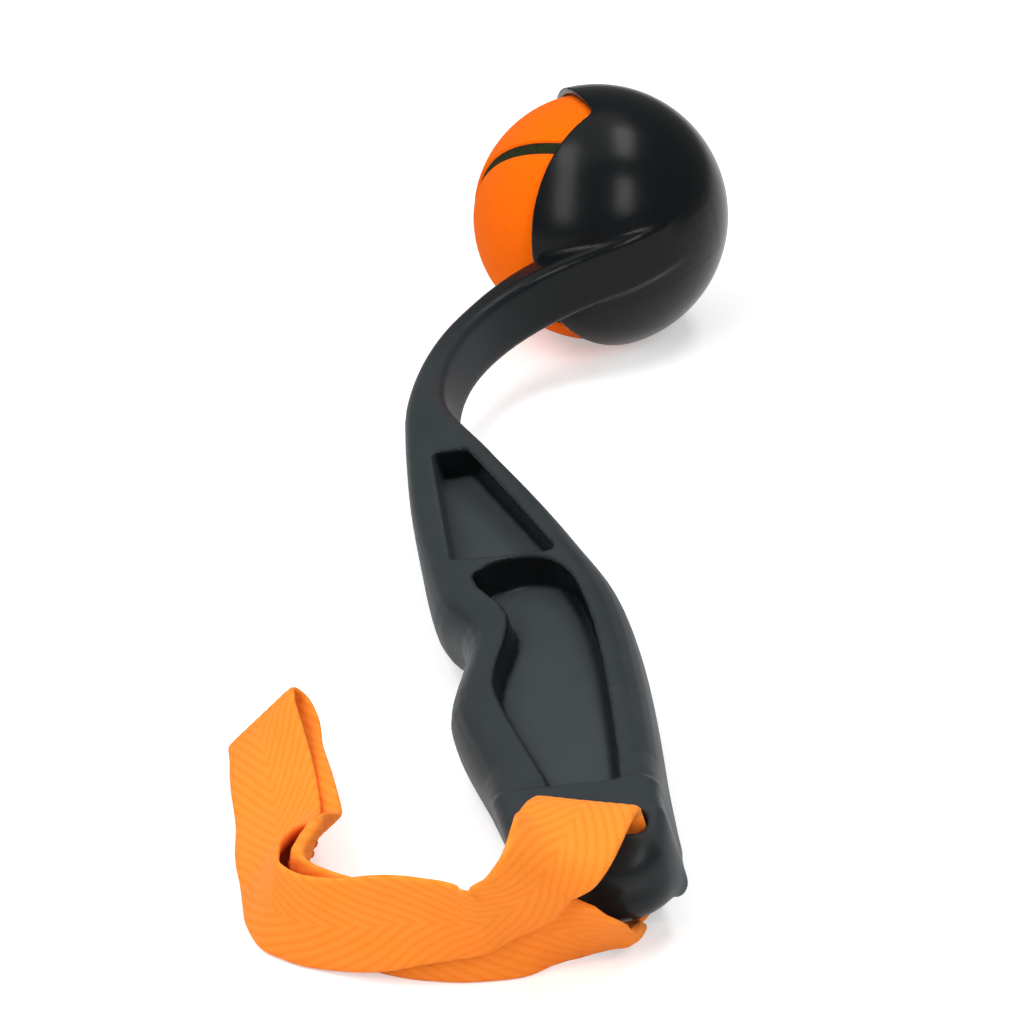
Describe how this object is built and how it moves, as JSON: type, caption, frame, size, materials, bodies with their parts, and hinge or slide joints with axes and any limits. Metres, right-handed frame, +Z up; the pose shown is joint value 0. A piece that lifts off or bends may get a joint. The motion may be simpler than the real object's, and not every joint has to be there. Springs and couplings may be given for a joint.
{
  "type": "dog ball launcher",
  "caption": "Hand-held dog ball launcher with a contoured grip, curved arm, jawed cup holding a felt ball, and a webbing wrist strap.",
  "frame": {"origin": "middle of the rigid parts' box at floor level, with the launcher lying as pictured", "axes": "+Y along the handle from the pommel to the cup, +Z up, +X to the side of the cup"},
  "size_m": [0.1649, 0.3437, 0.0675],
  "materials": {
    "launcher_plastic": "satin",
    "ball_rubber": "matte",
    "ball_felt": "matte",
    "seam_cement": "matte",
    "strap_cotton": "matte",
    "strap_thread": "matte"
  },
  "bodies": {
    "launcher": {"launcher_body": "launcher_plastic"},
    "ball": {"ball_core_a": "ball_rubber", "ball_core_b": "ball_rubber", "felt_panel_a": "ball_felt", "felt_panel_b": "ball_felt", "felt_seam": "seam_cement"},
    "strap": {"strap_webbing": "strap_cotton", "strap_stitching": "strap_thread"}
  },
  "joints": [
    {"name": "ball_release", "type": "slide", "parent": "launcher", "child": "ball", "axis": [-0.9455, 0.3256, 0], "range_m": [0, 0.066], "deforming": ["felt_panel_a", "felt_panel_b", "felt_seam"]},
    {"name": "strap_swing", "type": "hinge", "parent": "launcher", "child": "strap", "pos_m": [-0.03771, -0.15343, 0.01478], "axis": [0, 0, 1], "range_deg": [-20, 60], "deforming": ["strap_webbing", "strap_stitching"]}
  ]
}
